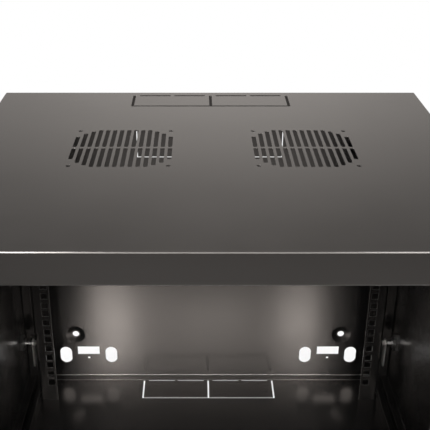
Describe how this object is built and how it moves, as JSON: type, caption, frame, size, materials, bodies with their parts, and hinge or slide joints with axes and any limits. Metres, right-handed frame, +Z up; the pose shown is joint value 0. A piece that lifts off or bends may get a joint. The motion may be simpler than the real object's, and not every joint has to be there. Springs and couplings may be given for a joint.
{
  "type": "wall mount network cabinet",
  "caption": "Wall mount cabinet for 19 inch network equipment: folded steel shell with fan grilles and cable knock-outs, equipment rails, removable latched sides and a lockable glass door.",
  "frame": {"origin": "centre of the four wall holes, on the plane where the pressed dimples of the back sheet meet the wall", "axes": "+X to the right seen from the front, +Y towards the wall, +Z up"},
  "size_m": [0.6784, 0.9557, 0.46],
  "materials": {
    "shell_paint": "fine satin powder coat",
    "frame_paint": "fine satin powder coat",
    "zinc": "zinc plated",
    "lock_metal": "satin nickel plated",
    "smoked_glass": "smoked tempered glass",
    "seal_rubber": "matt",
    "bush_nylon": "moulded nylon"
  },
  "bodies": {
    "cabinet": {"top_panel": "shell_paint", "base_panel": "shell_paint", "back_panel": "shell_paint", "front_post_left": "frame_paint", "front_post_right": "frame_paint", "rear_post_left": "frame_paint", "rear_post_right": "frame_paint", "lower_depth_rail_left": "frame_paint", "lower_depth_rail_right": "frame_paint", "upper_depth_rail_left": "frame_paint", "upper_depth_rail_right": "frame_paint", "front_rail_left": "frame_paint", "front_rail_right": "frame_paint", "rear_rail_left": "frame_paint", "rear_rail_right": "frame_paint", "rail_bolts": "zinc", "rail_nuts": "zinc", "hinge_bushes": "bush_nylon"},
    "door": {"door_frame": "shell_paint", "door_glass": "smoked_glass", "glass_seal": "seal_rubber", "glass_clips": "zinc", "hinge_pins": "zinc", "lock_barrel": "lock_metal", "lock_nut": "zinc"},
    "door_lock": {"lock_plug": "lock_metal", "lock_cam": "zinc", "lock_screw": "zinc"},
    "left_side": {"side_panel_left": "shell_paint", "latch_barrels_left": "lock_metal", "latch_nuts_left": "zinc"},
    "left_lower_latch": {"latch_plug_left_lower": "lock_metal", "latch_cam_left_lower": "zinc", "latch_screw_left_lower": "zinc"},
    "left_upper_latch": {"latch_plug_left_upper": "lock_metal", "latch_cam_left_upper": "zinc", "latch_screw_left_upper": "zinc"},
    "right_side": {"side_panel_right": "shell_paint", "latch_barrels_right": "lock_metal", "latch_nuts_right": "zinc"},
    "right_lower_latch": {"latch_plug_right_lower": "lock_metal", "latch_cam_right_lower": "zinc", "latch_screw_right_lower": "zinc"},
    "right_upper_latch": {"latch_plug_right_upper": "lock_metal", "latch_cam_right_upper": "zinc", "latch_screw_right_upper": "zinc"}
  },
  "joints": [
    {"name": "door_hinge", "type": "hinge", "parent": "cabinet", "child": "door", "pos_m": [-0.264, -0.437, 0], "axis": [0, 0, 1], "range_deg": [-75, 105]},
    {"name": "door_lock_turn", "type": "hinge", "parent": "door", "child": "door_lock", "pos_m": [-0.37499, -0.92076, 0], "axis": [0.9659, -0.2588, 0], "range_deg": [0, 90]},
    {"name": "left_side_swing", "type": "hinge", "parent": "cabinet", "child": "left_side", "pos_m": [-0.26715, -0.3908, 0], "axis": [0, 0, -1], "range_deg": [-15, 0]},
    {"name": "left_lower_latch_turn", "type": "hinge", "parent": "left_side", "child": "left_lower_latch", "pos_m": [-0.253, -0.07, -0.1205], "axis": [1, 0, 0], "range_deg": [0, 90]},
    {"name": "left_upper_latch_turn", "type": "hinge", "parent": "left_side", "child": "left_upper_latch", "pos_m": [-0.253, -0.07, 0.1205], "axis": [1, 0, 0], "range_deg": [0, 90]},
    {"name": "right_side_swing", "type": "hinge", "parent": "cabinet", "child": "right_side", "pos_m": [0.26715, -0.3908, 0], "axis": [0, 0, 1], "range_deg": [-15, 0]},
    {"name": "right_lower_latch_turn", "type": "hinge", "parent": "right_side", "child": "right_lower_latch", "pos_m": [0.253, -0.07, -0.1205], "axis": [1, 0, 0], "range_deg": [0, 90]},
    {"name": "right_upper_latch_turn", "type": "hinge", "parent": "right_side", "child": "right_upper_latch", "pos_m": [0.253, -0.07, 0.1205], "axis": [1, 0, 0], "range_deg": [0, 90]}
  ]
}
